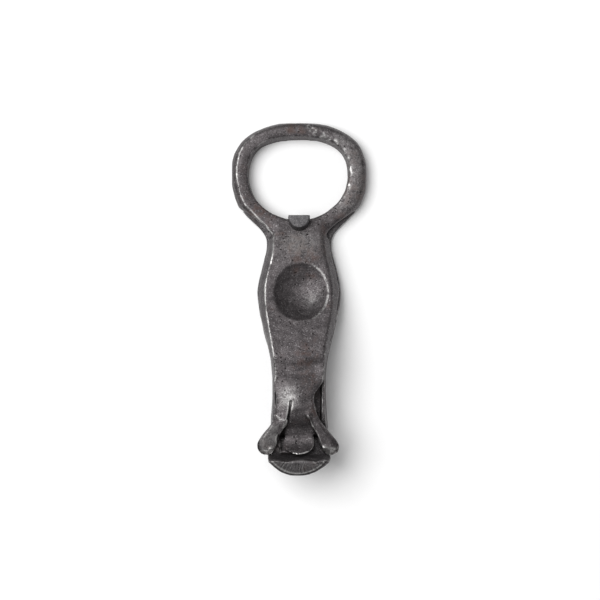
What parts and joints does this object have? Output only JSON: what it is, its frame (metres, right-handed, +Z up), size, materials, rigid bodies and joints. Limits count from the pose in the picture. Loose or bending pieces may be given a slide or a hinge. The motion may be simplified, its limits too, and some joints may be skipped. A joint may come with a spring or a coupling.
{
  "type": "bottle opener",
  "caption": "Forged iron bottle opener: a cap ring with a leaning tooth, a thumb-dimpled handle that thickens towards the head, and a split, curled end with a filed foot.",
  "frame": {"origin": "middle of the bounding box's underside, on the surface that the opener lies on", "axes": "+X across the width, +Y along the handle towards the cap ring, +Z up from the surface, towards the thumb dimple"},
  "size_m": [0.0434, 0.1124, 0.021],
  "materials": {
    "ring_iron": "dark satin forged iron, pitted, edges rubbed bright",
    "strap_iron": "dark satin forged iron with a brown tinge, edges rubbed bright",
    "bar_iron": "satin forged iron, smoother drafted sides",
    "filed_iron": "forged iron with coarse radiating file marks",
    "tooth_iron": "dark satin forged iron"
  },
  "bodies": {
    "root": {"ring_eye": "ring_iron", "cap_tooth": "tooth_iron", "front_strap": "strap_iron", "back_bar": "bar_iron", "left_claw": "strap_iron", "right_claw": "strap_iron", "tongue": "strap_iron", "foot": "filed_iron"}
  },
  "joints": []
}
